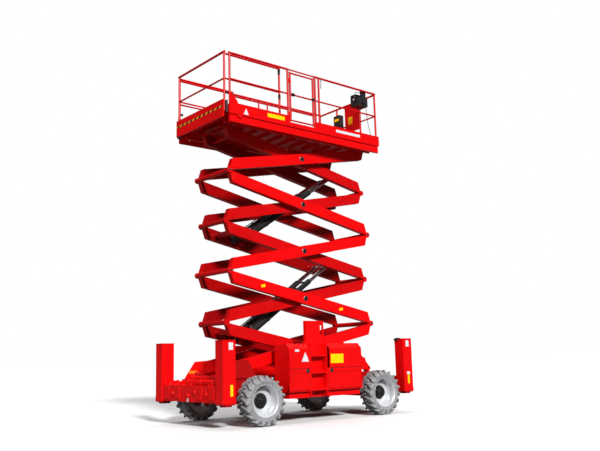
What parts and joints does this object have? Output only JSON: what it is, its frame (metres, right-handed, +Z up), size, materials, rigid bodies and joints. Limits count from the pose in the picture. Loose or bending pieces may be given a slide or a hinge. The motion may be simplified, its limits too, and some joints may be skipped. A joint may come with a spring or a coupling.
{
  "type": "scissor lift",
  "caption": "Self-propelled rough-terrain scissor lift with a railed roll-out platform, crossed arm pairs, twin telescopic lift cylinders, steered wheels and corner outrigger legs.",
  "frame": {"origin": "on the ground, midway between the outrigger posts and on the machine's centre line", "axes": "+X along the machine towards its rear axle, -X towards the steered axle and the roll-out deck, -Y towards the side with the ladder and the gate, +Z up"},
  "size_m": [4.54, 2.3, 6.6134],
  "materials": {
    "red_paint": "gloss red paint",
    "dark_red_paint": "red paint, in the shade and dusty",
    "black_paint": "satin black paint",
    "tyre_rubber": "matt dusty rubber",
    "wheel_paint": "silver white paint",
    "bright_steel": "ground and plated rod",
    "black_plastic": "moulded, matt"
  },
  "bodies": {
    "chassis": {"chassis_frame": "dark_red_paint", "front_axle": "red_paint", "rear_axle": "red_paint", "front_outrigger_frame": "red_paint", "rear_outrigger_frame": "red_paint", "right_side_box": "red_paint", "left_side_box": "red_paint", "ladder": "red_paint", "engine_block": "black_paint"},
    "right_knuckle": {"right_knuckle": "black_paint"},
    "left_knuckle": {"left_knuckle": "black_paint"},
    "steering_rod": {"steering_rod": "bright_steel"},
    "front_right_wheel": {"front_right_tyre": "tyre_rubber", "front_right_rim": "wheel_paint"},
    "front_right_leg": {"front_right_leg": "dark_red_paint"},
    "front_left_wheel": {"front_left_tyre": "tyre_rubber", "front_left_rim": "wheel_paint"},
    "front_left_leg": {"front_left_leg": "dark_red_paint"},
    "rear_right_wheel": {"rear_right_tyre": "tyre_rubber", "rear_right_rim": "wheel_paint"},
    "rear_right_leg": {"rear_right_leg": "dark_red_paint"},
    "rear_left_wheel": {"rear_left_tyre": "tyre_rubber", "rear_left_rim": "wheel_paint"},
    "rear_left_leg": {"rear_left_leg": "dark_red_paint"},
    "right_front_cover": {"right_front_cover": "red_paint"},
    "right_rear_cover": {"right_rear_cover": "red_paint"},
    "left_front_cover": {"left_front_cover": "red_paint"},
    "left_rear_cover": {"left_rear_cover": "red_paint"},
    "outer_arms_1": {"outer_arms_1": "red_paint"},
    "inner_arms_1": {"inner_arms_1": "red_paint"},
    "outer_arms_2": {"outer_arms_2": "red_paint"},
    "inner_arms_2": {"inner_arms_2": "red_paint"},
    "outer_arms_3": {"outer_arms_3": "red_paint"},
    "inner_arms_3": {"inner_arms_3": "red_paint"},
    "outer_arms_4": {"outer_arms_4": "red_paint"},
    "inner_arms_4": {"inner_arms_4": "red_paint"},
    "outer_arms_5": {"outer_arms_5": "red_paint"},
    "inner_arms_5": {"inner_arms_5": "red_paint"},
    "platform": {"platform_deck": "red_paint", "right_rails": "red_paint", "left_rails": "red_paint", "rear_rails": "red_paint", "platform_controller": "black_plastic", "control_cable": "black_plastic", "document_box": "black_plastic"},
    "lower_cylinder_rods": {"lower_cylinder_rods": "bright_steel"},
    "lower_cylinder_sleeves": {"lower_cylinder_sleeves": "black_paint"},
    "lower_cylinder_barrels": {"lower_cylinder_barrels": "black_paint"},
    "upper_cylinder_rods": {"upper_cylinder_rods": "bright_steel"},
    "upper_cylinder_sleeves": {"upper_cylinder_sleeves": "black_paint"},
    "upper_cylinder_barrels": {"upper_cylinder_barrels": "black_paint"},
    "extension": {"extension_deck": "red_paint", "extension_rails": "red_paint"},
    "entry_gate": {"entry_gate": "red_paint"}
  },
  "joints": [
    {"name": "front_right_wheel_spin", "type": "hinge", "parent": "right_knuckle", "child": "front_right_wheel", "pos_m": [-1.43, -0.995, 0.419], "axis": [0, 1, 0], "continuous": true},
    {"name": "front_right_leg_slide", "type": "slide", "parent": "chassis", "child": "front_right_leg", "axis": [0, 0, -1], "range_m": [0, 0.45]},
    {"name": "front_left_wheel_spin", "type": "hinge", "parent": "left_knuckle", "child": "front_left_wheel", "pos_m": [-1.43, 0.995, 0.419], "axis": [0, 1, 0], "continuous": true},
    {"name": "front_left_leg_slide", "type": "slide", "parent": "chassis", "child": "front_left_leg", "axis": [0, 0, -1], "range_m": [0, 0.45]},
    {"name": "rear_right_wheel_spin", "type": "hinge", "parent": "chassis", "child": "rear_right_wheel", "pos_m": [1.43, -0.995, 0.419], "axis": [0, 1, 0], "continuous": true},
    {"name": "rear_right_leg_slide", "type": "slide", "parent": "chassis", "child": "rear_right_leg", "axis": [0, 0, -1], "range_m": [0, 0.45]},
    {"name": "rear_left_wheel_spin", "type": "hinge", "parent": "chassis", "child": "rear_left_wheel", "pos_m": [1.43, 0.995, 0.419], "axis": [0, 1, 0], "continuous": true},
    {"name": "rear_left_leg_slide", "type": "slide", "parent": "chassis", "child": "rear_left_leg", "axis": [0, 0, -1], "range_m": [0, 0.45]},
    {"name": "steering", "type": "hinge", "parent": "chassis", "child": "right_knuckle", "pos_m": [-1.43, -0.835, 0.419], "axis": [0, 0, 1], "range_deg": [-28, 28]},
    {"name": "left_steering", "type": "hinge", "parent": "chassis", "child": "left_knuckle", "pos_m": [-1.43, 0.835, 0.419], "axis": [0, 0, 1], "range_deg": [-28.5, 28.5]},
    {"name": "steering_rod_slide", "type": "slide", "parent": "chassis", "child": "steering_rod", "axis": [0, 1, 0], "range_m": [-0.075, 0.075]},
    {"name": "right_front_cover_hinge", "type": "hinge", "parent": "chassis", "child": "right_front_cover", "pos_m": [-0.66, -0.7, 1.36], "axis": [-1, 0, 0], "range_deg": [0, 60]},
    {"name": "right_rear_cover_hinge", "type": "hinge", "parent": "chassis", "child": "right_rear_cover", "pos_m": [0.44, -0.7, 1.36], "axis": [-1, 0, 0], "range_deg": [0, 60]},
    {"name": "left_front_cover_hinge", "type": "hinge", "parent": "chassis", "child": "left_front_cover", "pos_m": [-0.47, 0.7, 1.36], "axis": [1, 0, 0], "range_deg": [0, 60]},
    {"name": "left_rear_cover_hinge", "type": "hinge", "parent": "chassis", "child": "left_rear_cover", "pos_m": [0.41, 0.7, 1.36], "axis": [1, 0, 0], "range_deg": [0, 60]},
    {"name": "lift", "type": "hinge", "parent": "chassis", "child": "outer_arms_1", "pos_m": [-1.72, 0, 0.85], "axis": [0, -1, 0], "range_deg": [-11.45, 43.66]},
    {"name": "inner_arms_1_turn", "type": "hinge", "parent": "outer_arms_1", "child": "inner_arms_1", "pos_m": [-0.00421, 0, 1.30461], "axis": [0, -1, 0], "range_deg": [-87.37, 22.95]},
    {"name": "outer_arms_2_turn", "type": "hinge", "parent": "outer_arms_1", "child": "outer_arms_2", "pos_m": [1.71159, 0, 1.75923], "axis": [0, -1, 0], "range_deg": [-87.37, 22.95]},
    {"name": "inner_arms_2_turn", "type": "hinge", "parent": "inner_arms_1", "child": "inner_arms_2", "pos_m": [-1.72, 0, 1.75923], "axis": [0, -1, 0], "range_deg": [-22.95, 87.37]},
    {"name": "outer_arms_3_turn", "type": "hinge", "parent": "outer_arms_2", "child": "outer_arms_3", "pos_m": [-1.72, 0, 2.66846], "axis": [0, -1, 0], "range_deg": [-22.95, 87.37]},
    {"name": "inner_arms_3_turn", "type": "hinge", "parent": "inner_arms_2", "child": "inner_arms_3", "pos_m": [1.71159, 0, 2.66846], "axis": [0, -1, 0], "range_deg": [-87.37, 22.95]},
    {"name": "outer_arms_4_turn", "type": "hinge", "parent": "outer_arms_3", "child": "outer_arms_4", "pos_m": [1.71159, 0, 3.57768], "axis": [0, -1, 0], "range_deg": [-87.37, 22.95]},
    {"name": "inner_arms_4_turn", "type": "hinge", "parent": "inner_arms_3", "child": "inner_arms_4", "pos_m": [-1.72, 0, 3.57768], "axis": [0, -1, 0], "range_deg": [-22.95, 87.37]},
    {"name": "outer_arms_5_turn", "type": "hinge", "parent": "outer_arms_4", "child": "outer_arms_5", "pos_m": [-1.72, 0, 4.48691], "axis": [0, -1, 0], "range_deg": [-22.95, 87.37]},
    {"name": "inner_arms_5_turn", "type": "hinge", "parent": "inner_arms_4", "child": "inner_arms_5", "pos_m": [1.71159, 0, 4.48691], "axis": [0, -1, 0], "range_deg": [-87.37, 22.95]},
    {"name": "platform_turn", "type": "hinge", "parent": "inner_arms_5", "child": "platform", "pos_m": [-1.72, 0, 5.39614], "axis": [0, -1, 0], "range_deg": [-11.5, 43.71]},
    {"name": "lower_cylinder_turn", "type": "hinge", "parent": "inner_arms_3", "child": "lower_cylinder_rods", "pos_m": [0.89934, 0, 2.94008], "axis": [0, -1, 0], "range_deg": [-23.29, 88.68]},
    {"name": "lower_cylinder_rods_slide", "type": "slide", "parent": "lower_cylinder_rods", "child": "lower_cylinder_sleeves", "axis": [-0.8222, 0, -0.5691], "range_m": [-0.2684, 1.0205]},
    {"name": "lower_cylinder_sleeves_slide", "type": "slide", "parent": "lower_cylinder_sleeves", "child": "lower_cylinder_barrels", "axis": [-0.8222, 0, -0.5691], "range_m": [-0.2684, 1.0205]},
    {"name": "upper_cylinder_turn", "type": "hinge", "parent": "inner_arms_5", "child": "upper_cylinder_rods", "pos_m": [0.99735, 0, 4.73869], "axis": [0, -1, 0], "range_deg": [-23.29, 88.68]},
    {"name": "upper_cylinder_rods_slide", "type": "slide", "parent": "upper_cylinder_rods", "child": "upper_cylinder_sleeves", "axis": [-0.8381, 0, -0.5456], "range_m": [-0.2509, 0.9539]},
    {"name": "upper_cylinder_sleeves_slide", "type": "slide", "parent": "upper_cylinder_sleeves", "child": "upper_cylinder_barrels", "axis": [-0.8381, 0, -0.5456], "range_m": [-0.2509, 0.9539]},
    {"name": "extension_slide", "type": "slide", "parent": "platform", "child": "extension", "axis": [-1, 0, 0], "range_m": [0, 1]},
    {"name": "gate_hinge", "type": "hinge", "parent": "platform", "child": "entry_gate", "pos_m": [-0.527, -0.8637, 5.9664], "axis": [0, 0, 1], "range_deg": [0, 90]}
  ],
  "couplings": [
    {"joint": "left_steering", "follows": "steering", "ratio": 1},
    {"joint": "steering_rod_slide", "follows": "steering", "m_per_rad": -0.1441},
    {"joint": "inner_arms_1_turn", "follows": "lift", "ratio": -2},
    {"joint": "outer_arms_2_turn", "follows": "lift", "ratio": -2},
    {"joint": "inner_arms_2_turn", "follows": "lift", "ratio": 2},
    {"joint": "outer_arms_3_turn", "follows": "lift", "ratio": 2},
    {"joint": "inner_arms_3_turn", "follows": "lift", "ratio": -2},
    {"joint": "outer_arms_4_turn", "follows": "lift", "ratio": -2},
    {"joint": "inner_arms_4_turn", "follows": "lift", "ratio": 2},
    {"joint": "outer_arms_5_turn", "follows": "lift", "ratio": 2},
    {"joint": "inner_arms_5_turn", "follows": "lift", "ratio": -2},
    {"joint": "platform_turn", "follows": "lift", "ratio": 1},
    {"joint": "lower_cylinder_turn", "follows": "lift", "ratio": 2.03},
    {"joint": "lower_cylinder_rods_slide", "follows": "lift", "m_per_rad": 1.338},
    {"joint": "lower_cylinder_sleeves_slide", "follows": "lift", "m_per_rad": 1.338},
    {"joint": "upper_cylinder_turn", "follows": "lift", "ratio": 2.03},
    {"joint": "upper_cylinder_rods_slide", "follows": "lift", "m_per_rad": 1.2505},
    {"joint": "upper_cylinder_sleeves_slide", "follows": "lift", "m_per_rad": 1.2505}
  ]
}
